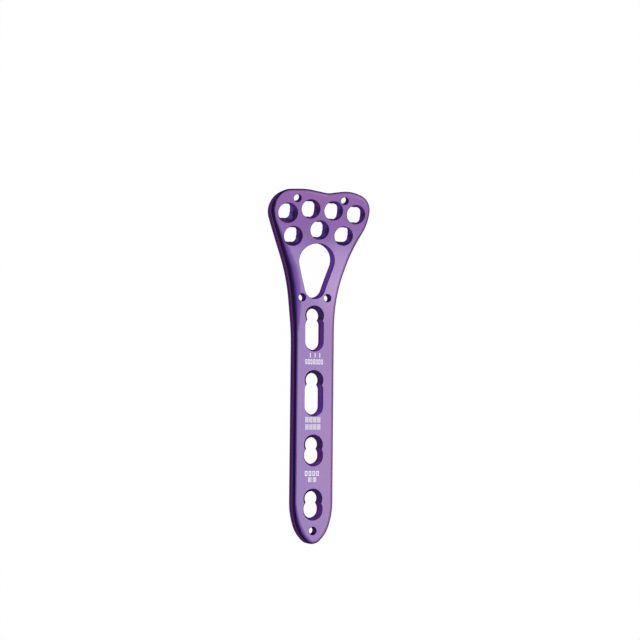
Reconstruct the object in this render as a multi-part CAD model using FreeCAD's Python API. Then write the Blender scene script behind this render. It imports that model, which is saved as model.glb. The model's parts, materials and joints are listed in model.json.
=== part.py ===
import FreeCAD, Part
import math
import os

from FreeCAD import Vector

# A volar locking plate for the distal radius, machined from one bar of titanium.
# Millimetres. While it is built, Y runs along the shaft from its tip at y = 0, X = 0 is the
# middle of the shaft and the flat underside of the shaft lies at z = 0. The underside is the
# face that lies on the bone, and screws go in from the top. At the end the plate is moved so
# that the middle of its bounding box stands over the origin.

# Blank
THICKNESS = 2.5
TOP_EDGE_RADIUS = 0.7
BONE_EDGE_BEVEL = 0.25

# Shaft, with a bullet-shaped tip. The corners of its two halves are given as the step in from
# the side of the shaft, the place along it and the rounding radius.
SHAFT_WIDTH = 9.5
TIP_SIDE = (0.0, 6.5, 16.0)
TIP_SHOULDER = (1.4, 2.25, 7.4)
TIP_NOSE = (3.6, 0.0, 2.6)

# Places along the plate, each as the step from the one before: the shaft's holes from the tip
# on, the start of the bend, the two ends of the window and the two rows of head holes
TIP_MARGIN = 9.9
HOLE_STEPS = (11.8, 14.15, 14.25)
BEND_MARGIN = 3.5
BEND_TO_WINDOW = 2.5
WINDOW_LENGTH = 5.9
WINDOW_TO_ROW = 5.5
ROW_STEP = 5.2

SHAFT_HOLES = [TIP_MARGIN + sum(HOLE_STEPS[:count]) for count in range(len(HOLE_STEPS) + 1)]
BEND_START = SHAFT_HOLES[-1] + BEND_MARGIN
NARROW_END = BEND_START + BEND_TO_WINDOW
WIDE_END = NARROW_END + WINDOW_LENGTH
NEAR_ROW = WIDE_END + WINDOW_TO_ROW
FAR_ROW = NEAR_ROW + ROW_STEP

# Bend of the head, away from the bone. The fold line is slanted, so that the head also leans
# towards its styloid side, which is the one with the lower corner hole.
BEND_RADIUS = 50.0
BEND_ANGLE = 16.0
FOLD_SLANT = 24.0

# Outline of the neck: step out from the side of the shaft, step from the start of the bend or
# from the near row, rounding radius
NECK_STYLOID = (0.0, -7.4, 60.0)
FLARE_STYLOID = (1.2, 5.2, 38.0)
NECK_ULNAR = (0.0, -0.1, 44.0)
FLARE_ULNAR = (3.5, -2.5, 36.0)

# Outline of the head, with its two lobes and the dip between them: x, step from the far row,
# rounding radius
LOBE_STYLOID = (-12.95, 4.5, 4.5)
CREST_STYLOID = (-3.2, 4.9, 11.5)
DIP = (1.6, 4.1, 4.9)
CREST_ULNAR = (6.6, 4.9, 8.0)
LOBE_ULNAR = (11.4, 3.0, 3.6)
SIDE_ULNAR = (11.15, -2.2, 10.5)

# Locking holes of the head: a round counterbore square to the top face, a cone, and a threaded
# throat along the screw's own axis. The thread stands on four columns, with a relief lobe
# between each two.
COUNTERBORE_RADIUS = 2.05
CORNER_RADIUS = 2.15
COUNTERBORE_DEPTH = 0.6
CONE_ANGLE = 45.0
THROAT_RADIUS = 1.78
LOBE_COUNT = 4
LOBE_RADIUS = 1.0
LOBE_OFFSET = 1.02

# Rim centre of each head hole, as x and the step from its row, its counterbore radius, and the
# lean of its screw axis from the upright, in degrees: sideways towards +X, back towards the tip
NEAR_HOLES = {
    "near_styloid": (-5.6, -0.2, COUNTERBORE_RADIUS, 8.0, 18.0),
    "near_middle": (0.2, 1.3, COUNTERBORE_RADIUS, 8.0, 11.0),
    "near_ulnar": (5.7, 0.2, COUNTERBORE_RADIUS, 0.0, 18.0),
}
FAR_HOLES = {
    "styloid": (-7.2, -0.5, CORNER_RADIUS, 17.0, 22.0),
    "far_styloid": (-2.2, 0.5, COUNTERBORE_RADIUS, 5.0, 8.0),
    "far_middle": (2.9, 0.3, COUNTERBORE_RADIUS, 2.0, 6.0),
    "far_ulnar": (8.0, -0.3, COUNTERBORE_RADIUS, -3.0, 7.0),
}

# Holes for the wires that hold the plate while it is fitted: x and the step from the far row,
# from the start of the bend or from the tip
WIRE_HOLE_RADIUS = 0.82
FAR_WIRES = {"far_styloid": (-5.4, 2.7), "far_ulnar": (5.2, 2.5)}
NECK_WIRES = {"neck_styloid": (-2.95, 0.4), "neck_ulnar": (2.95, 0.4)}
TIP_WIRE = (0.0, 2.9)

# Teardrop window of the neck: x and radius of its two ends, and the lean of its wall
WINDOW_WIDE = (0.15, 3.98)
WINDOW_NARROW = (-0.05, 2.3)
WINDOW_SIDE_LEAN = 5.0
WINDOW_BACK_LEAN = 9.0

# Combination holes of the shaft: a round threaded end towards the head, joined to a slot with
# sloped walls in which a plain screw can slide. A slot has a mouth radius and a straight length.
LOCK_RADIUS = 2.08
LOCK_DEPTH = 0.3
LOCK_THROAT_RADIUS = 1.68
COMBI_SPACING = 2.15
SLOT_THROAT_RADIUS = 1.78
SLOT_SLOPE_DEPTH = 1.05
LONG_SLOT = (2.2, 3.65)
SHORT_SLOT = (2.28, 0.35)
SLOTS = (SHORT_SLOT, SHORT_SLOT, LONG_SLOT, LONG_SLOT)

# Bevel of the window's rim and of the round rims on the top face
RIM_BEVEL = 0.12

# Room by which a cutting tool passes the faces that it cuts
CLEAR = 4.0

# An edge counts as sharp above this angle, and as part of a face within this distance
SHARP_ANGLE = 20.0
TOLERANCE = 1e-4


def fold_axes():
    """Directions up the slope of the head and along the fold line."""
    slant = math.radians(FOLD_SLANT)
    uphill = Vector(math.sin(slant), math.cos(slant), 0)
    along = Vector(math.cos(slant), -math.sin(slant), 0)
    return uphill, along


def top_height(x, y):
    """Level of the top face over the point x, y."""
    uphill, along = fold_axes()
    run = x * uphill.x + (y - BEND_START) * uphill.y
    if run <= 0:
        return THICKNESS
    bend = math.radians(BEND_ANGLE)
    inner = BEND_RADIUS - THICKNESS
    bend_run = inner * math.sin(bend)
    if run < bend_run:
        return BEND_RADIUS - math.sqrt(inner**2 - run**2)
    return BEND_RADIUS - inner * math.cos(bend) + (run - bend_run) * math.tan(bend)


def top_normal(x, y):
    """Unit normal of the top face over the point x, y."""
    uphill, along = fold_axes()
    run = x * uphill.x + (y - BEND_START) * uphill.y
    inner = BEND_RADIUS - THICKNESS
    limit = math.radians(BEND_ANGLE)
    slope = min(limit, math.asin(min(1.0, max(0.0, run / inner))))
    return uphill * -math.sin(slope) + Vector(0, 0, math.cos(slope))


def line(start, end):
    return Part.LineSegment(start, end).toShape()


def rounded_loop(corners):
    """Closed wire round corners (x, y, radius), each of them rounded by a tangent arc."""
    points = [Vector(corner[0], corner[1], 0) for corner in corners]
    sides = []
    halves = []
    reaches = []
    for index, point in enumerate(points):
        back = points[index - 1] - point
        ahead = points[(index + 1) % len(points)] - point
        half = back.getAngle(ahead) / 2
        sides.append(back.Length)
        halves.append(half)
        reaches.append(corners[index][2] / math.tan(half))
    arcs = []
    for index, point in enumerate(points):
        following = (index + 1) % len(points)
        back = (points[index - 1] - point).normalize()
        ahead = (points[following] - point).normalize()
        room = min(
            sides[index] / (reaches[index - 1] + reaches[index]),
            sides[following] / (reaches[index] + reaches[following]),
        )
        reach = reaches[index] * min(1.0, room)
        radius = reach * math.tan(halves[index])
        depth = radius / math.sin(halves[index]) - radius
        middle = point + (back + ahead).normalize() * depth
        arcs.append((point + back * reach, middle, point + ahead * reach))
    edges = []
    for index, (start, middle, end) in enumerate(arcs):
        if (start - arcs[index - 1][2]).Length > TOLERANCE:
            edges.append(line(arcs[index - 1][2], start))
        edges.append(Part.Arc(start, middle, end).toShape())
    return Part.Wire(edges)


def beside_shaft(corner, side, origin):
    """Corner given as (step out from the shaft's side, step from the origin, radius)."""
    step, place, radius = corner
    return side * (SHAFT_WIDTH / 2 + step), origin + place, radius


def outline_face():
    """The plate seen from above: bullet-shaped tip, straight shaft, flared neck, lobed head."""
    tip = [(-step, place, radius) for step, place, radius in (TIP_SIDE, TIP_SHOULDER, TIP_NOSE)]
    head = (LOBE_STYLOID, CREST_STYLOID, DIP, CREST_ULNAR, LOBE_ULNAR, SIDE_ULNAR)
    corners = [beside_shaft(corner, -1, 0) for corner in tip[::-1]]
    corners.append(beside_shaft(NECK_STYLOID, -1, BEND_START))
    corners.append(beside_shaft(FLARE_STYLOID, -1, BEND_START))
    corners += [(x, FAR_ROW + step, radius) for x, step, radius in head]
    corners.append(beside_shaft(FLARE_ULNAR, 1, NEAR_ROW))
    corners.append(beside_shaft(NECK_ULNAR, 1, BEND_START))
    corners += [beside_shaft(corner, 1, 0) for corner in tip]
    return Part.Face(rounded_loop(corners))


def bent_slab():
    """A slab of the plate's thickness, flat under the shaft and bent up under the head."""
    uphill, along = fold_axes()
    bend = math.radians(BEND_ANGLE)
    up = Vector(0, 0, 1)
    root = Vector(0, BEND_START, 0)
    behind = BEND_START + CLEAR
    ahead = FAR_ROW + CREST_STYLOID[1]

    def at(radius, turn):
        centre = root + up * BEND_RADIUS
        return centre + uphill * (radius * math.sin(turn)) - up * (radius * math.cos(turn))

    edges = []
    starts = []
    ends = []
    for radius in (BEND_RADIUS, BEND_RADIUS - THICKNESS):
        low = at(radius, 0)
        high = at(radius, bend)
        start = low - uphill * behind
        end = high + uphill * (ahead * math.cos(bend)) + up * (ahead * math.sin(bend))
        edges += [line(start, low), line(high, end)]
        edges.append(Part.Arc(low, at(radius, bend / 2), high).toShape())
        starts.append(start)
        ends.append(end)
    edges += [line(*starts), line(*ends)]
    profile = Part.Face(Part.Wire(Part.__sortEdges__(edges)))
    width = 2 * ahead
    profile.translate(along * -(width / 2))
    return profile.extrude(along * width)


def crease(body, edge):
    """Angle, in degrees, between the two faces that meet in the middle of an edge."""
    point = edge.valueAt((edge.FirstParameter + edge.LastParameter) / 2)
    faces = body.ancestorsOfType(edge, Part.Face)
    if len(faces) != 2:
        return 0.0
    first, second = [face.normalAt(*face.Surface.parameter(point)) for face in faces]
    return math.degrees(first.getAngle(second))


def creases_at(body, depth):
    """Sharp edges of the body that lie that deep below its top face."""
    found = []
    for edge in body.Edges:
        first, last = edge.FirstParameter, edge.LastParameter
        points = [edge.valueAt(first + (last - first) * part) for part in (0.0, 0.3, 0.5)]
        if all(abs(depth_of(point) - depth) < TOLERANCE for point in points):
            if crease(body, edge) > SHARP_ANGLE:
                found.append(edge)
    return found


def depth_of(point):
    """Depth of a point below the top face, square to that face."""
    uphill, along = fold_axes()
    run = point.x * uphill.x + (point.y - BEND_START) * uphill.y
    if run <= 0:
        return THICKNESS - point.z
    rise = BEND_RADIUS - point.z
    inner = BEND_RADIUS - THICKNESS
    bend = math.radians(BEND_ANGLE)
    if math.atan2(run, rise) < bend:
        return math.hypot(run, rise) - inner
    return run * math.sin(bend) + rise * math.cos(bend) - inner


def upright(face):
    """Solid of a face drawn at z = 0, from well below the plate to well above it."""
    face.translate(Vector(0, 0, -CLEAR))
    return face.extrude(Vector(0, 0, BEND_RADIUS))


def blank():
    """The bent plate with its window, before drilling: edges rounded on top, bevelled below."""
    body = bent_slab().common(upright(outline_face())).Solids[0]
    body = body.makeFillet(TOP_EDGE_RADIUS, creases_at(body, 0))
    body = body.cut(window_tool()).Solids[0]
    body = body.makeChamfer(RIM_BEVEL, creases_at(body, 0))
    return body.makeChamfer(BONE_EDGE_BEVEL, creases_at(body, THICKNESS))


def lathe(points):
    """Solid of revolution about Z of a closed profile of (radius, z) points."""
    corners = [Vector(radius, 0, z) for radius, z in points]
    profile = Part.Face(Part.makePolygon(corners + corners[:1]))
    return profile.revolve(Vector(0, 0, 0), Vector(0, 0, 1), 360)


def counterbore_tool(radius, depth, throat):
    """Cutter of a counterbore, its cone down into the throat and the bevel of its rim."""
    inside = throat / 2
    cone = (radius - inside) / math.tan(math.radians(CONE_ANGLE))
    return lathe([
        (0, -depth - cone),
        (inside, -depth - cone),
        (radius, -depth),
        (radius, -RIM_BEVEL),
        (radius + RIM_BEVEL, 0),
        (radius + 2 * RIM_BEVEL, RIM_BEVEL),
        (0, RIM_BEVEL),
    ])


def throat_tool(radius, start):
    """Cutter of a throat along Z, from that depth in the counterbore out through the back."""
    length = THICKNESS + CLEAR
    return Part.makeCylinder(radius, length, Vector(0, 0, -start - length))


def relief_lobes():
    """Cutters of the lobes between the thread columns of a head hole."""
    length = THICKNESS + CLEAR
    lobes = []
    for number in range(LOBE_COUNT):
        turn = 2 * math.pi * (number + 0.5) / LOBE_COUNT
        side = Vector(math.cos(turn), math.sin(turn), 0) * LOBE_OFFSET
        foot = side - Vector(0, 0, COUNTERBORE_DEPTH / 2 + length)
        lobes.append(Part.makeCylinder(LOBE_RADIUS, length, foot))
    return lobes


def leaning(side, back):
    """Direction that leans by those degrees: sideways towards +X, back towards the tip."""
    return Vector(math.tan(math.radians(side)), -math.tan(math.radians(back)), 1)


def head_hole_tool(x, y, radius, side_lean, back_lean):
    """Cutter of one head hole: counterbore square to the face, throat along the screw."""
    axis = leaning(side_lean, back_lean)
    counterbore = counterbore_tool(radius, COUNTERBORE_DEPTH, THROAT_RADIUS)
    throat = throat_tool(THROAT_RADIUS, COUNTERBORE_DEPTH / 2).multiFuse(relief_lobes())
    return placed(counterbore, x, y, top_normal(x, y)).fuse(placed(throat, x, y, axis))


def placed(tool, x, y, axis):
    """The tool with its origin on the top face over x, y and its Z along the axis."""
    turn = FreeCAD.Rotation(Vector(0, 0, 1), axis)
    tool.Placement = FreeCAD.Placement(Vector(x, y, top_height(x, y)), turn)
    return tool


def bevel_tool(radius):
    """Cutter of the bevel round a hole of that radius, widening up through the top face."""
    return lathe([
        (0, -RIM_BEVEL),
        (radius, -RIM_BEVEL),
        (radius + RIM_BEVEL, 0),
        (radius + 2 * RIM_BEVEL, RIM_BEVEL),
        (0, RIM_BEVEL),
    ])


def wire_hole_tool(x, y):
    """Cutter of one wire hole, square to the top face."""
    length = THICKNESS + 2 * CLEAR
    drill = Part.makeCylinder(WIRE_HOLE_RADIUS, length, Vector(0, 0, -THICKNESS - CLEAR))
    return placed(drill.fuse(bevel_tool(WIRE_HOLE_RADIUS)), x, y, top_normal(x, y))


def hull_face(wide, narrow):
    """Face bounded by two circles (x, y, radius) in line with Y and their outer tangents."""
    ends = [Vector(circle[0], circle[1], 0) for circle in (wide, narrow)]
    span = ends[1] - ends[0]
    lean = math.acos((wide[2] - narrow[2]) / span.Length)
    heading = math.atan2(span.y, span.x)
    points = []
    for centre, circle in zip(ends, (wide, narrow)):
        for side in (1, -1):
            turn = heading + side * lean
            points.append(centre + Vector(math.cos(turn), math.sin(turn), 0) * circle[2])
    along = span.normalize()
    wide_arc = Part.Arc(points[0], ends[0] - along * wide[2], points[1]).toShape()
    narrow_arc = Part.Arc(points[2], ends[1] + along * narrow[2], points[3]).toShape()
    sides = [line(points[0], points[2]), line(points[1], points[3])]
    return Part.Face(Part.Wire(Part.__sortEdges__([wide_arc, narrow_arc] + sides)))


def window_tool():
    """Cutter of the teardrop window, which leans as it goes down through the head."""
    axis = leaning(WINDOW_SIDE_LEAN, WINDOW_BACK_LEAN)
    ends = []
    for y, (x, radius) in ((WIDE_END, WINDOW_WIDE), (NARROW_END, WINDOW_NARROW)):
        foot = Vector(x, y, 0) - axis * top_height(x, y)
        ends.append((foot.x, foot.y, radius))
    face = hull_face(*ends)
    face.translate(axis * -CLEAR)
    return face.extrude(axis * BEND_RADIUS)


def slot_tool(y, mouth_radius, straight):
    """Cutter of the sliding end of a combination hole, running from y towards the tip."""
    profile = [
        (SLOT_THROAT_RADIUS, -THICKNESS - CLEAR),
        (SLOT_THROAT_RADIUS, -SLOT_SLOPE_DEPTH),
        (mouth_radius, 0),
        (mouth_radius, CLEAR),
    ]
    end = lathe([(0, profile[0][1])] + profile + [(0, CLEAR)])
    end.translate(Vector(0, y, THICKNESS))
    if not straight:
        return end
    far_end = end.copy()
    far_end.translate(Vector(0, -straight, 0))
    section = [Vector(radius, y, THICKNESS + z) for radius, z in profile]
    section += [Vector(-radius, y, THICKNESS + z) for radius, z in reversed(profile)]
    middle = Part.Face(Part.makePolygon(section + section[:1])).extrude(Vector(0, -straight, 0))
    return end.multiFuse([far_end, middle])


def combination_tool(y, mouth_radius, straight):
    """Cutter of one shaft hole: its threaded end at y, its slot towards the tip."""
    lock = counterbore_tool(LOCK_RADIUS, LOCK_DEPTH, LOCK_THROAT_RADIUS)
    lock = lock.fuse(throat_tool(LOCK_THROAT_RADIUS, LOCK_DEPTH / 2))
    lock.translate(Vector(0, y, THICKNESS))
    return lock.fuse(slot_tool(y - COMBI_SPACING, mouth_radius, straight))


def head_holes():
    """Name and (x, y, radius, side lean, back lean) of each head hole."""
    holes = {}
    for row, group in ((NEAR_ROW, NEAR_HOLES), (FAR_ROW, FAR_HOLES)):
        for name, (x, step, *rest) in group.items():
            holes[name] = (x, row + step, *rest)
    return holes


def wire_holes():
    """Name and (x, y) of each wire hole."""
    holes = {"tip": TIP_WIRE}
    for origin, group in ((FAR_ROW, FAR_WIRES), (BEND_START, NECK_WIRES)):
        for name, (x, step) in group.items():
            holes[name] = (x, origin + step)
    return holes


def drilled(body):
    """The blank with its round holes and combination holes."""
    tools = [head_hole_tool(*hole) for hole in head_holes().values()]
    tools += [wire_hole_tool(*hole) for hole in wire_holes().values()]
    tools += [combination_tool(y, *slot) for y, slot in zip(SHAFT_HOLES, SLOTS)]
    return body.cut(tools).Solids[0]


def centred(body):
    """The body moved so that its box stands with the middle of its floor on the origin."""
    box = body.optimalBoundingBox()
    body.translate(Vector(-box.Center.x, -box.Center.y, -box.ZMin))
    return body


os.makedirs("parts", exist_ok=True)
plate = centred(drilled(blank()))
plate.exportStep("parts/bone_plate.step")
box = plate.optimalBoundingBox()
print("bone plate: %.2f x %.2f x %.2f mm" % (box.XLength, box.YLength, box.ZLength))
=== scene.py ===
import json
import math

import bpy
from mathutils import Matrix, Vector
from mathutils.bvhtree import BVHTree


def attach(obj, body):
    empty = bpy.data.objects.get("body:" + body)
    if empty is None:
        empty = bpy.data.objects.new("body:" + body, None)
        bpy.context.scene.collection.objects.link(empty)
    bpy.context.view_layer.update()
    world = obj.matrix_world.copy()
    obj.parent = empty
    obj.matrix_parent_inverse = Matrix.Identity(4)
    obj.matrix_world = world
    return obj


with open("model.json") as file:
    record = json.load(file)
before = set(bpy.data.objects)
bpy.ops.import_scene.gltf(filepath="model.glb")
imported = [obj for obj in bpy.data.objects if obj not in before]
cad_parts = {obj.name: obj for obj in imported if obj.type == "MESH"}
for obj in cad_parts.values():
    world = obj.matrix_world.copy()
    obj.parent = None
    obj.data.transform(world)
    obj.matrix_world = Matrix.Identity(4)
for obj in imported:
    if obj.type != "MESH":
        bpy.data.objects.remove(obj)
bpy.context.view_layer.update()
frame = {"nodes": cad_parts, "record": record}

MM = 0.001
PLATE = frame["nodes"]["bone_plate"]
MOUNTS = {mount["name"]: mount for mount in frame["record"]["mounts"]}

# Picture size in pixels, and the lens that its perspective fits
PICTURE = 640
LENS_PIXELS = 1500
SENSOR = 36.0

# The camera leans to the left of the shaft's upright, stands over one point and looks at another
CAMERA_LEAN = math.radians(20)
CAMERA_DISTANCE = 330 * MM
CAMERA_OVER = Vector((0.02, -11.67, 2.5)) * MM
CAMERA_TARGET = Vector((1.12, 10.33, 2.5)) * MM
CAMERA_ROLL = math.radians(0.55)
CAMERA_CLIP = (0.01, 20)

# Level of the shaft's top face, and how far the laser marks lie over it
SHAFT_TOP = 2.5 * MM
MARK_LIFT = 0.004 * MM

# Locking thread: pitch, height of its crest over the wall, width of its foot, width of the crest
# as a share of the foot, and what is left of the foot at the ends of a ridge
THREAD_PITCH = 0.42 * MM
THREAD_HEIGHT = 0.10 * MM
THREAD_FOOT = 0.30 * MM
CREST_SHARE = 0.25
END_SHARE = 0.15

# Steps in a turn of the thread, fewest points of a ridge, and how far a wall may be off its radius.
# The foot also goes into the wall that far.
THREAD_STEPS = 72
FEWEST_POINTS = 4
WALL_FIT = 0.02 * MM


def mesh_piece(name, vertices, faces, material):
    """A flat-shaded mesh, parented to the empty of the root body."""
    mesh = bpy.data.meshes.new(name)
    mesh.from_pydata([tuple(v) for v in vertices], [], faces)
    mesh.validate()
    piece = bpy.data.objects.new(name, mesh)
    bpy.context.scene.collection.objects.link(piece)
    mesh.materials.append(material)
    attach(piece, "root")


def new_material(name):
    """An empty node material with a Principled shader, and its node tree."""
    material = bpy.data.materials.new(name)
    material.use_nodes = True
    tree = material.node_tree
    return material, tree, tree.nodes["Principled BSDF"]


def add_node(tree, kind, values=None, **settings):
    """A node of that kind with its settings, and values for its input sockets."""
    node = tree.nodes.new(kind)
    for key, value in settings.items():
        setattr(node, key, value)
    for key, value in (values or {}).items():
        node.inputs[key].default_value = value
    return node


def ramp(tree, factor, stops):
    """A colour ramp with two (position, colour) stops, fed by a socket."""
    node = tree.nodes.new("ShaderNodeValToRGB")
    for element, (position, colour) in zip(node.color_ramp.elements, stops):
        element.position = position
        element.color = (*colour, 1)
    tree.links.new(factor, node.inputs["Fac"])
    return node.outputs["Color"]


def mix_colour(tree, factor, first, second):
    """A colour mix of two sockets, by the factor of a third."""
    node = add_node(tree, "ShaderNodeMix", data_type="RGBA")
    tree.links.new(factor, node.inputs[0])
    tree.links.new(first, node.inputs[6])
    tree.links.new(second, node.inputs[7])
    return node.outputs[2]


# Colours of the anodised layer, linear. The top face is painted bluer and darker at the left of the shaft
# and pinker and lighter at its right, as a painted reflection, and is pinker at the end of the head.
# The outer walls are painted deeper and the edges deepest, near black at the left, as painted shade.
SHAFT_BLUE = (0.194, 0.080, 0.372)
SHAFT_PINK = (0.242, 0.095, 0.378)
HEAD_BLUE = (0.212, 0.086, 0.400)
HEAD_PINK = (0.268, 0.085, 0.390)
SHADED_WALL_COLOUR = (0.135, 0.056, 0.175)
HOLE_BLUE = (0.19, 0.100, 0.46)
HOLE_SHADED_RED = (0.20, 0.062, 0.24)
LEFT_EDGE_SHADE = (0.018, 0.009, 0.050)
RIGHT_EDGE_SHADE = (0.11, 0.05, 0.18)
RIM_SHADE = (0.052, 0.030, 0.130)
# Reflection tints: dark on the walls, as painted shade on their reflections, and pale on the open faces
WALL_SHADE_TINT = (0.30, 0.12, 0.45)
FACE_TINT = (0.85, 0.70, 0.95)

# The satin metal, its fine grain, and the gloss of the oxide layer
SATIN = (0.42, 0.50)
GRAIN_SCALE = 9000.0
GRAIN_STRENGTH = 0.06
GRAIN_DEPTH = 0.02 * MM
COAT_INDEX = 1.8
COAT_ROUGHNESS = 0.22

# Drift of the colours, with painted light in it: its scales on the faces and in the holes, and how far
# each side of the shaft pushes it, as a painted reflection, darker at the left and lighter at the right,
# and how far the low and the high parts of the holes' walls push it, as painted shade low down
FACE_DRIFT_SCALE = 70.0
FACE_DRIFT_STOPS = (0.32, 0.68)
FACE_SHEEN_SIDES = (-4 * MM, 4 * MM, -0.15, 0.15)
HOLE_DRIFT_SCALE = 420.0
HOLE_DRIFT_STOPS = (0.42, 0.58)
HOLE_SHADE_HEIGHTS = (0.7 * MM, 1.7 * MM, -0.12, 0.08)

# Where the colours change along the plate, from the shaft to the head and to the head's end,
# and across it, from the left edge to the right one
TO_HEAD = (10 * MM, 30 * MM)
TO_HEAD_END = (26 * MM, 37 * MM)
TO_RIGHT_EDGE = (-2 * MM, 2 * MM)

# How upright a surface is, from 0 for a wall to 1 for a level face: where walls end, where the
# band of an edge starts and ends, where open faces start, and what belongs to the top
WALL_ENDS = 0.45
BAND = (0.58, 0.80)
FACE_STARTS = 0.96
TOP_FROM = (0.3, 0.5)

# Reach of the holes' colour from the middle line, at the shaft and at the far end of the head,
# and where it ends short of the plate's two end walls
HOLES_FROM = (12 * MM, 3.0 * MM)
HOLES_TO = (35 * MM, 10.4 * MM)
HOLES_ENDS = ((-36.6 * MM, -36.0 * MM), (36.0 * MM, 36.6 * MM))

# Left edge of the plate, as (y, x) in millimetres from the tip to the end of the head, and the
# length and width that the curve through it spans
LEFT_EDGE = [(-38.7, -0.8), (-38.1, -1.9), (-37.1, -2.9), (-36.1, -3.5), (-34.1, -4.3), (-32.1, -4.7),
             (-30.0, -4.9), (6.0, -4.9), (10.0, -5.1), (14.0, -5.5), (18.0, -6.0), (22.0, -6.9),
             (26.0, -8.3), (30.0, -9.8), (32.0, -10.6), (34.0, -11.1), (36.0, -10.8), (37.0, -10.2),
             (38.0, -9.2), (38.7, -7.9)]
CURVE_SPAN = (80.0, 12.0)

# Soft crown of the top face: its left flank falls away towards the edge in the shading normal, is painted
# blue and then black as a painted dark reflection, and loses its gloss. It starts at a width given for the
# shaft, the neck and the head, with the four places where these change, and is wider at the tip. It has
# fallen fully at FLANK_FULL from the edge.
FLANK_FULL = 0.55 * MM
FLANK_WIDTHS = (1.22 * MM, 3.3 * MM, 1.05 * MM)
FLANK_NECK = (7 * MM, 15 * MM, 21 * MM, 32 * MM)
FLANK_TIP = (-37 * MM, -30 * MM, 0.9 * MM)
FLANK_TILT = (-0.36, 0.0, 0.0)
FLANK_SHADE_BLUE = (0.185, 0.075, 0.38)
FLANK_SHADE_BLACK = (0.018, 0.009, 0.050)
FLANK_TURNS_BLUE = (0.0, 0.55)
FLANK_TURNS_BLACK = (0.75, 1.0)
FLANK_DULLS = (0.2, 0.8)

# The right side of the neck lies back a little in the shading normal, and is painted paler as a painted
# highlight. Each sets in between the first two of its places along the plate, and ends between the last
# two.
NECK_SIDE = (-1 * MM, 5 * MM)
LEVEL_NECK = (15 * MM, 22 * MM, 24 * MM, 33 * MM)
LEVEL_TILT = (0.04, 0.14, 0.0)
NECK_HIGHLIGHT_REACH = (8 * MM, 16 * MM, 18 * MM, 28 * MM)
NECK_HIGHLIGHT_COLOUR = (0.36, 0.19, 0.50)


def mapped(tree, value, low, high, to_low=0.0, to_high=1.0):
    """A value socket stretched from low..high to the range given."""
    node = add_node(tree, "ShaderNodeMapRange", {1: low, 2: high, 3: to_low, 4: to_high})
    tree.links.new(value, node.inputs["Value"])
    return node.outputs["Result"]


def absolute(tree, value):
    """The size of a value socket, without its sign."""
    node = add_node(tree, "ShaderNodeMath", operation="ABSOLUTE")
    tree.links.new(value, node.inputs[0])
    return node.outputs[0]


def product(tree, first, second):
    """Product of two value sockets, or of a socket and a number."""
    node = add_node(tree, "ShaderNodeMath", operation="MULTIPLY")
    tree.links.new(first, node.inputs[0])
    if isinstance(second, float):
        node.inputs[1].default_value = second
    else:
        tree.links.new(second, node.inputs[1])
    return node.outputs[0]


def total(tree, first, second):
    """Sum of two value sockets."""
    node = add_node(tree, "ShaderNodeMath", operation="ADD")
    tree.links.new(first, node.inputs[0])
    tree.links.new(second, node.inputs[1])
    return node.outputs[0]


def split(tree, vector):
    """The x, y and z sockets of a vector socket."""
    node = add_node(tree, "ShaderNodeSeparateXYZ")
    tree.links.new(vector, node.inputs[0])
    return list(node.outputs)


def noise_of(tree, place, scale):
    """Soft noise at that scale over the object."""
    node = add_node(tree, "ShaderNodeTexNoise", {"Scale": scale, "Detail": 2.0, "Roughness": 0.4})
    tree.links.new(place, node.inputs["Vector"])
    return node.outputs["Fac"]


def plain_colour(tree, colour):
    """A socket that gives one colour."""
    node = add_node(tree, "ShaderNodeRGB")
    node.outputs[0].default_value = (*colour, 1)
    return node.outputs[0]


def drifting_colour(tree, drift_and_painted_light, stops, first, second):
    """Two colours that run into each other with the drift."""
    return ramp(tree, drift_and_painted_light, [(stops[0], first), (stops[1], second)])


def open_face_colour(tree, place, across, along):
    """Violet that drifts a little, is painted darker and bluer at the left and lighter and pinker at the
    right as a painted reflection, and is pinker at the end of the head.
    """
    drift_and_painted_light = total(tree, noise_of(tree, place, FACE_DRIFT_SCALE), mapped(tree, across, *FACE_SHEEN_SIDES))
    shaft = drifting_colour(tree, drift_and_painted_light, FACE_DRIFT_STOPS, SHAFT_BLUE, SHAFT_PINK)
    to_end = mapped(tree, along, *TO_HEAD_END)
    head = mix_colour(tree, to_end, plain_colour(tree, HEAD_BLUE), plain_colour(tree, HEAD_PINK))
    return mix_colour(tree, mapped(tree, along, *TO_HEAD), shaft, head)


def inside_holes(tree, across, along):
    """Share that tells the holes' walls and rims from the outer ones."""
    reach = mapped(tree, along, HOLES_FROM[0], HOLES_TO[0], HOLES_FROM[1], HOLES_TO[1])
    inside = add_node(tree, "ShaderNodeMath", operation="LESS_THAN")
    tree.links.new(absolute(tree, across), inside.inputs[0])
    tree.links.new(reach, inside.inputs[1])
    after_tip = mapped(tree, along, *HOLES_ENDS[0])
    before_end = mapped(tree, along, *HOLES_ENDS[1], 1.0, 0.0)
    return product(tree, product(tree, after_tip, before_end), inside.outputs[0])


def shaded_wall_and_edge_colours(tree, place, across, along, height):
    """Painted shade: deep violet outer walls, dark edges, near black at the left, and blue violet holes
    painted redder and darker low down.
    """
    drift_and_painted_light = total(tree, noise_of(tree, place, HOLE_DRIFT_SCALE), mapped(tree, height, *HOLE_SHADE_HEIGHTS))
    holes = drifting_colour(tree, drift_and_painted_light, HOLE_DRIFT_STOPS, HOLE_SHADED_RED, HOLE_BLUE)
    share = inside_holes(tree, across, along)
    wall = mix_colour(tree, share, plain_colour(tree, SHADED_WALL_COLOUR), holes)
    left, right = plain_colour(tree, LEFT_EDGE_SHADE), plain_colour(tree, RIGHT_EDGE_SHADE)
    outer = mix_colour(tree, mapped(tree, across, *TO_RIGHT_EDGE), left, right)
    edge = mix_colour(tree, share, outer, plain_colour(tree, RIM_SHADE))
    return wall, edge


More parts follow.
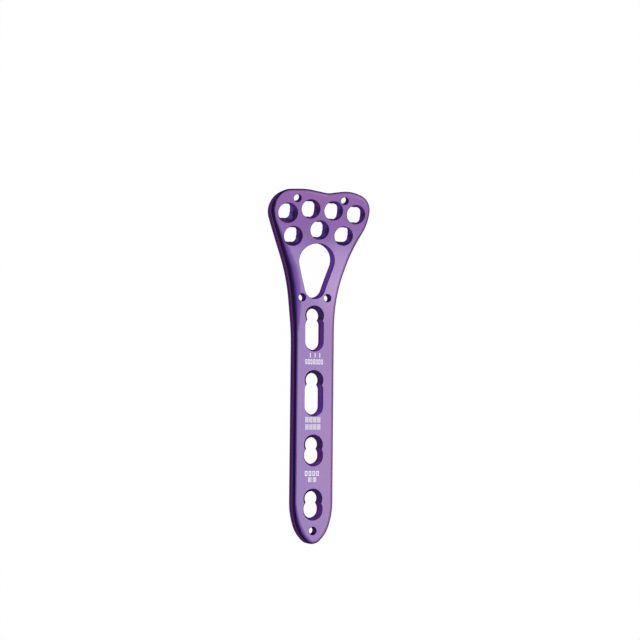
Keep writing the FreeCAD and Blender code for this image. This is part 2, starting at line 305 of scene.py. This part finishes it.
def left_edge(tree, along):
    """How far the left edge of the plate is from the middle line."""
    node = add_node(tree, "ShaderNodeFloatCurve")
    points = node.mapping.curves[0].points
    length, width = CURVE_SPAN
    places = [(y / length + 0.5, -x / width) for y, x in LEFT_EDGE]
    points[0].location, points[1].location = places[0], places[-1]
    for place in places[1:-1]:
        points.new(*place)
    for point in points:
        point.handle_type = "VECTOR"
    node.mapping.update()
    tree.links.new(mapped(tree, along, -length / 2 * MM, length / 2 * MM), node.inputs["Value"])
    return product(tree, node.outputs[0], width * MM)


def flank_fall(tree, across, along):
    """How far the left flank has fallen away, from 0 inside to 1 at the edge of the top face."""
    inward = total(tree, across, left_edge(tree, along))
    shaft, neck, head = FLANK_WIDTHS
    wider = mapped(tree, along, FLANK_NECK[0], FLANK_NECK[1], 0.0, neck - shaft)
    narrower = mapped(tree, along, FLANK_NECK[2], FLANK_NECK[3], shaft, shaft + head - neck)
    fall = add_node(tree, "ShaderNodeMapRange", {1: FLANK_FULL, 3: 1.0, 4: 0.0},
                    interpolation_type="SMOOTHSTEP")
    tree.links.new(inward, fall.inputs[0])
    at_tip = mapped(tree, along, FLANK_TIP[0], FLANK_TIP[1], FLANK_TIP[2], 0.0)
    tree.links.new(total(tree, total(tree, wider, narrower), at_tip), fall.inputs[2])
    return fall.outputs["Result"]


def right_of_neck(tree, across, along, reach):
    """Share of the right side of the neck, which rises and ends over the lengths given."""
    rise = mapped(tree, along, reach[0], reach[1])
    end = mapped(tree, along, reach[2], reach[3], 1.0, 0.0)
    return product(tree, product(tree, rise, end), mapped(tree, across, *NECK_SIDE))


def crowned_normal(tree, texture, flank, back):
    """Normal of the surface, turned a little by the soft crown of the top face."""
    normal = texture.outputs["Normal"]
    for share, tilt in ((flank, FLANK_TILT), (back, LEVEL_TILT)):
        lean = add_node(tree, "ShaderNodeVectorMath", {0: tilt}, operation="SCALE")
        tree.links.new(share, lean.inputs["Scale"])
        both = add_node(tree, "ShaderNodeVectorMath", operation="ADD")
        tree.links.new(normal, both.inputs[0])
        tree.links.new(lean.outputs[0], both.inputs[1])
        normal = both.outputs[0]
    turn = add_node(tree, "ShaderNodeVectorTransform", vector_type="NORMAL", convert_from="OBJECT",
                    convert_to="WORLD")
    tree.links.new(normal, turn.inputs[0])
    return turn.outputs[0]


def skin_and_shade_colour(tree, place, spot, band, face, flank, on_top):
    """Colour of the oxide layer on walls, edges and open faces, with painted shade on the walls, edges and
    left flank and a painted highlight on the right of the neck.
    """
    wall, edge = shaded_wall_and_edge_colours(tree, place, *spot)
    neck_highlight = product(tree, right_of_neck(tree, *spot[:2], NECK_HIGHLIGHT_REACH), on_top)
    open_face = open_face_colour(tree, place, *spot[:2])
    open_face = mix_colour(tree, neck_highlight, open_face, plain_colour(tree, NECK_HIGHLIGHT_COLOUR))
    # Painted dark reflection on the left flank: first blue, then black
    for reach, tone in ((FLANK_TURNS_BLUE, FLANK_SHADE_BLUE), (FLANK_TURNS_BLACK, FLANK_SHADE_BLACK)):
        open_face = mix_colour(tree, mapped(tree, flank, *reach), open_face, plain_colour(tree, tone))
    return mix_colour(tree, face, mix_colour(tree, band, wall, edge), open_face)


def add_grain_and_crown(tree, shader, texture, flank, back):
    """Fine grain of the metal, and the soft crown under both the grain and the gloss."""
    grain = noise_of(tree, texture.outputs["Object"], GRAIN_SCALE)
    tree.links.new(mapped(tree, grain, 0.0, 1.0, *SATIN), shader.inputs["Roughness"])
    crown = crowned_normal(tree, texture, flank, back)
    bump = add_node(tree, "ShaderNodeBump", {"Strength": GRAIN_STRENGTH, "Distance": GRAIN_DEPTH})
    tree.links.new(grain, bump.inputs["Height"])
    tree.links.new(crown, bump.inputs["Normal"])
    tree.links.new(bump.outputs["Normal"], shader.inputs["Normal"])
    tree.links.new(crown, shader.inputs["Coat Normal"])


def anodised_titanium():
    """Satin titanium with a violet oxide layer, under a gloss that reflects white. Its colours hold
    painted shade and a painted highlight.
    """
    material, tree, shader = new_material("anodised_titanium")
    texture = add_node(tree, "ShaderNodeTexCoord")
    place = texture.outputs["Object"]
    spot = split(tree, place)
    upright = split(tree, texture.outputs["Normal"])[2]
    level = absolute(tree, upright)
    band = mapped(tree, level, WALL_ENDS, BAND[0])
    face = mapped(tree, level, BAND[1], FACE_STARTS)
    on_top = mapped(tree, upright, *TOP_FROM)
    flank = product(tree, flank_fall(tree, *spot[:2]), on_top)
    back = product(tree, right_of_neck(tree, *spot[:2], LEVEL_NECK), on_top)
    tree.links.new(skin_and_shade_colour(tree, place, spot, band, face, flank, on_top), shader.inputs["Base Color"])
    add_grain_and_crown(tree, shader, texture, flank, back)

    shader.inputs["Metallic"].default_value = 1.0
    # Dark reflection tint on the walls, as painted shade, and a pale one on the open faces
    tint = mix_colour(tree, face, plain_colour(tree, WALL_SHADE_TINT), plain_colour(tree, FACE_TINT))
    tree.links.new(tint, shader.inputs["Specular Tint"])
    gloss = product(tree, face, mapped(tree, flank, *FLANK_DULLS, 1.0, 0.0))
    tree.links.new(gloss, shader.inputs["Coat Weight"])
    shader.inputs["Coat Roughness"].default_value = COAT_ROUGHNESS
    shader.inputs["Coat IOR"].default_value = COAT_INDEX
    return material


def on_wall(tree, on_axis, outward, axis, radius):
    """Whether the wall of the hole is there over the whole foot of the thread."""
    for offset in (-THREAD_FOOT / 2, 0, THREAD_FOOT / 2):
        hit = tree.ray_cast(on_axis + axis * offset, outward, 2 * radius)
        if hit[0] is None or abs(hit[3] - radius) > WALL_FIT:
            return False
    return True


def wall_runs(tree, mount):
    """Stretches of a helix round a mount's axis that lie on the wall of its hole."""
    centre = Vector(mount["pos_m"])
    axis = Vector(mount["axis"]).normalized()
    radius = mount["dims"]["r_mm"] * MM
    length = mount["dims"]["length_mm"] * MM
    turn = Vector((0, 0, 1)).rotation_difference(axis)
    steps = int(length / THREAD_PITCH * THREAD_STEPS)
    runs = []
    run = []
    for step in range(steps + 1):
        angle = 2 * math.pi * step / THREAD_STEPS
        level = -length / 2 + THREAD_PITCH * step / THREAD_STEPS
        outward = turn @ Vector((math.cos(angle), math.sin(angle), 0))
        point = (centre + axis * level, outward, axis, radius)
        good = on_wall(tree, *point)
        if good:
            run.append(point)
        if run and (not good or step == steps):
            if len(run) >= FEWEST_POINTS:
                runs.append(run)
            run = []
    return runs


def ridge_section(point, taper):
    """The four corners of a thread ridge at one point of its run."""
    on_axis, outward, axis, radius = point
    foot = THREAD_FOOT / 2 * max(taper, END_SHARE)
    crest = on_axis + outward * (radius - THREAD_HEIGHT * taper)
    outer = on_axis + outward * (radius + WALL_FIT)
    return [outer + axis * foot, crest + axis * foot * CREST_SHARE,
            crest - axis * foot * CREST_SHARE, outer - axis * foot]


def thread_piece(tree, name, mount, material):
    """Thread ridges of one locking hole: one tapered ridge for each stretch of wall."""
    vertices = []
    faces = []
    for run in wall_runs(tree, mount):
        first = len(vertices)
        last = len(run) - 1
        for number, point in enumerate(run):
            vertices += ridge_section(point, min(1.0, number / 2, (last - number) / 2))
        end = first + 4 * last
        for base in range(first, end, 4):
            for side in range(4):
                after = (side + 1) % 4
                faces.append((base + side, base + after, base + 4 + after, base + 4 + side))
        faces.append((first + 3, first + 2, first + 1, first))
        faces.append((end, end + 1, end + 2, end + 3))
    mesh_piece(name, vertices, faces, material)


# Laser marks: stops of their speckle's colours, its scale and detail, and their roughness
LASER_SPECKLE = [(0.3, (0.88, 0.85, 0.92)), (0.6, (0.98, 0.97, 0.99))]
LASER_SPECKLE_SCALE = 12000.0
LASER_SPECKLE_DETAIL = 3.0
LASER_ROUGHNESS = 0.7


def laser_white():
    """Rough pale marks that a laser has raised in the oxide layer."""
    material, tree, shader = new_material("laser_white")
    texture = add_node(tree, "ShaderNodeTexCoord")
    speckle = add_node(tree, "ShaderNodeTexNoise",
                       {"Scale": LASER_SPECKLE_SCALE, "Detail": LASER_SPECKLE_DETAIL})
    tree.links.new(texture.outputs["Object"], speckle.inputs["Vector"])
    colour = ramp(tree, speckle.outputs["Fac"], LASER_SPECKLE)
    tree.links.new(colour, shader.inputs["Base Color"])
    shader.inputs["Roughness"].default_value = LASER_ROUGHNESS
    return material


# Shapes of the laser marks, as bars (x0, y0, x1, y1) in a box of 1 by 1
TICK = [(0.35, 0.0, 0.65, 1.0)]
RING = [(0.0, 0.0, 0.3, 1.0), (0.7, 0.0, 1.0, 1.0), (0.3, 0.0, 0.7, 0.18), (0.3, 0.82, 0.7, 1.0)]
HATCH = [(0.0, 0.0, 0.22, 1.0), (0.39, 0.0, 0.61, 1.0), (0.78, 0.0, 1.0, 1.0)]

# Rows of laser marks on the shaft, with no meaning: shape, x, y, pitch, count, width, height,
# in millimetres from the middle of the plate
MARK_ROWS = [
    (TICK, 0.05, 2.48, 1.10, 3, 0.62, 1.00),
    (RING, -0.17, 1.07, 0.61, 7, 0.44, 1.08),
    (HATCH, -0.33, -11.65, 0.92, 4, 0.68, 1.20),
    (HATCH, -0.31, -13.22, 0.92, 4, 0.68, 1.20),
    (RING, -0.44, -23.38, 0.88, 4, 0.60, 1.08),
    (HATCH, -0.36, -24.73, 1.10, 2, 0.72, 1.10),
]


def laser_marks(material):
    """Rows of small generic marks on the top face of the shaft."""
    level = SHAFT_TOP + MARK_LIFT
    for number, (bars, x, y, pitch, count, width, height) in enumerate(MARK_ROWS, 1):
        vertices = []
        faces = []
        for place in range(count):
            left = x + (place - (count - 1) / 2) * pitch - width / 2
            low = y - height / 2
            for x0, y0, x1, y1 in bars:
                base = len(vertices)
                for across, along in ((x0, y0), (x1, y0), (x1, y1), (x0, y1)):
                    corner = Vector((left + across * width, low + along * height, 0)) * MM
                    vertices.append(corner + Vector((0, 0, level)))
                faces.append((base, base + 1, base + 2, base + 3))
        mesh_piece("marks_%d" % number, vertices, faces, material)


# The floor's width, how far it lies under the plate, its own colour and roughness, and how much
# of it the camera and reflections see as plain white
FLOOR_SIZE = 6
FLOOR_DROP = 0.02 * MM
FLOOR_COLOUR = (0.9, 0.9, 0.9)
FLOOR_ROUGHNESS = 0.9
FLOOR_WHITE_SEEN = 0.98
FLOOR_WHITE_REFLECTED = 0.3


def floor_material():
    """Pale floor that shows as white and keeps a soft shadow."""
    material, tree, shader = new_material("floor_white")
    shader.inputs["Base Color"].default_value = (*FLOOR_COLOUR, 1)
    shader.inputs["Roughness"].default_value = FLOOR_ROUGHNESS
    glow = add_node(tree, "ShaderNodeEmission", {"Color": (1, 1, 1, 1), "Strength": 1.0})
    path = add_node(tree, "ShaderNodeLightPath")
    seen = add_node(tree, "ShaderNodeMath", {1: FLOOR_WHITE_SEEN}, operation="MULTIPLY")
    tree.links.new(path.outputs["Is Camera Ray"], seen.inputs[0])
    other = add_node(tree, "ShaderNodeMath", operation="MAXIMUM")
    tree.links.new(path.outputs["Is Glossy Ray"], other.inputs[0])
    tree.links.new(path.outputs["Is Transmission Ray"], other.inputs[1])
    share = add_node(tree, "ShaderNodeMath", {1: FLOOR_WHITE_REFLECTED}, operation="MULTIPLY_ADD")
    tree.links.new(other.outputs[0], share.inputs[0])
    tree.links.new(seen.outputs[0], share.inputs[2])
    both = add_node(tree, "ShaderNodeMixShader")
    tree.links.new(share.outputs[0], both.inputs[0])
    tree.links.new(shader.outputs["BSDF"], both.inputs[1])
    tree.links.new(glow.outputs["Emission"], both.inputs[2])
    tree.links.new(both.outputs[0], tree.nodes["Material Output"].inputs["Surface"])
    return material


def add_floor():
    """A wide level floor just under the plate."""
    bpy.ops.mesh.primitive_plane_add(size=FLOOR_SIZE, location=(0, 0, -FLOOR_DROP))
    floor = bpy.context.object
    floor.name = "floor"
    floor.data.materials.append(floor_material())


def aim(thing, place, target, roll=0.0):
    """Puts a camera or lamp at a place, looking at the target."""
    forward = (target - place).normalized()
    right = forward.cross(Vector((0, 1, 0))).normalized()
    up = right.cross(forward)
    rolled_right = right * math.cos(roll) + up * math.sin(roll)
    rolled_up = up * math.cos(roll) - right * math.sin(roll)
    basis = Matrix((rolled_right, rolled_up, -forward)).transposed()
    thing.matrix_world = Matrix.Translation(place) @ basis.to_4x4()


def add_camera():
    """The camera of the photograph."""
    data = bpy.data.cameras.new("camera")
    data.sensor_width = SENSOR
    data.lens = LENS_PIXELS / PICTURE * SENSOR
    data.clip_start, data.clip_end = CAMERA_CLIP
    camera = bpy.data.objects.new("camera", data)
    bpy.context.scene.collection.objects.link(camera)
    lean = Vector((-math.sin(CAMERA_LEAN), 0, math.cos(CAMERA_LEAN)))
    aim(camera, CAMERA_OVER + lean * CAMERA_DISTANCE, CAMERA_TARGET, CAMERA_ROLL)
    bpy.context.scene.camera = camera


# Softbox: direction from the plate, distance, sides and radiance, and then the world's level
SOFTBOX_TOWARDS = Vector((0.29, -0.02, 0.95))
SOFTBOX_DISTANCE = 0.7
SOFTBOX_SIDES = (0.22, 0.26)
SOFTBOX_RADIANCE = 1.55
WORLD_LEVEL = 0.8

# Fill lamp overhead, which reflections don't show: place, side and radiance
FILL_PLACE = Vector((0.1, 0.3, 0.9))
FILL_SIDE = 0.6
FILL_RADIANCE = 1.0


def add_softbox(name, towards, distance, sides, radiance):
    """A rectangular lamp whose surface shines at that radiance."""
    data = bpy.data.lights.new(name, "AREA")
    data.shape = "RECTANGLE"
    data.size, data.size_y = sides
    data.energy = radiance * math.pi * sides[0] * sides[1]
    lamp = bpy.data.objects.new(name, data)
    bpy.context.scene.collection.objects.link(lamp)
    lamp.visible_camera = False
    aim(lamp, towards.normalized() * distance, Vector((0, 0, 0)))
    return lamp


def add_world():
    """An even pale surround, which shows as white behind the floor."""
    world = bpy.data.worlds.new("surround")
    bpy.context.scene.world = world
    world.use_nodes = True
    tree = world.node_tree
    path = add_node(tree, "ShaderNodeLightPath")
    level = add_node(tree, "ShaderNodeMapRange", {"To Min": WORLD_LEVEL, "To Max": 1.0})
    tree.links.new(path.outputs["Is Camera Ray"], level.inputs["Value"])
    surround = tree.nodes["Background"]
    surround.inputs["Color"].default_value = (1, 1, 1, 1)
    tree.links.new(level.outputs["Result"], surround.inputs["Strength"])


titanium = anodised_titanium()
for slot in PLATE.material_slots:
    slot.material = titanium
corners = [vertex.co for vertex in PLATE.data.vertices]
surface = BVHTree.FromPolygons(corners, [polygon.vertices for polygon in PLATE.data.polygons])
for name, mount in MOUNTS.items():
    if mount["kind"] == "clamp":
        thread_piece(surface, "thread_" + name, mount, titanium)
laser_marks(laser_white())
add_floor()
add_world()
add_softbox("softbox", SOFTBOX_TOWARDS, SOFTBOX_DISTANCE, SOFTBOX_SIDES, SOFTBOX_RADIANCE)
fill = add_softbox("fill", FILL_PLACE, FILL_PLACE.length, (FILL_SIDE, FILL_SIDE), FILL_RADIANCE)
fill.visible_glossy = False
add_camera()
bpy.context.scene.view_settings.view_transform = "Standard"
